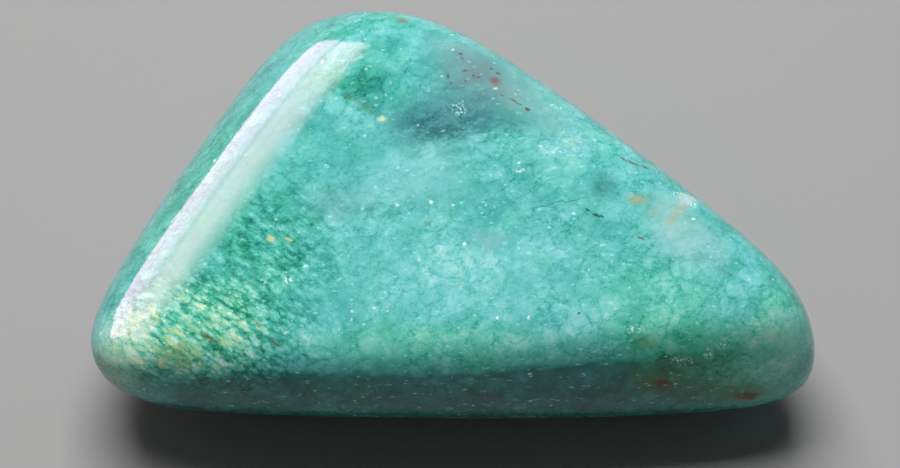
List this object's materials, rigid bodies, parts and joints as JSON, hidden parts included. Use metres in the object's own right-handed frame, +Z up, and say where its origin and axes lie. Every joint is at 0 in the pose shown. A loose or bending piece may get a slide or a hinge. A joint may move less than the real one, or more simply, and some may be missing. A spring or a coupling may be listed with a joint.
{
  "type": "tumbled polished verdite pebble",
  "caption": "Polished green verdite tumble stone: a blunt, rounded triangle with a softly crowned top and a small flat spot that it rests on.",
  "frame": {"origin": "centre of the bounding box, on the surface that the stone rests on", "axes": "+X along the stone's long side towards its narrow right end, +Y towards its blunt apex, +Z up through the broad top face"},
  "size_m": [0.0318, 0.0198, 0.0099],
  "materials": {
    "polished_verdite": "wet-looking tumbled polish over mottled sea green with deep green, grey and rust marks"
  },
  "bodies": {
    "root": {"tumbled_stone": "polished_verdite"}
  },
  "joints": []
}
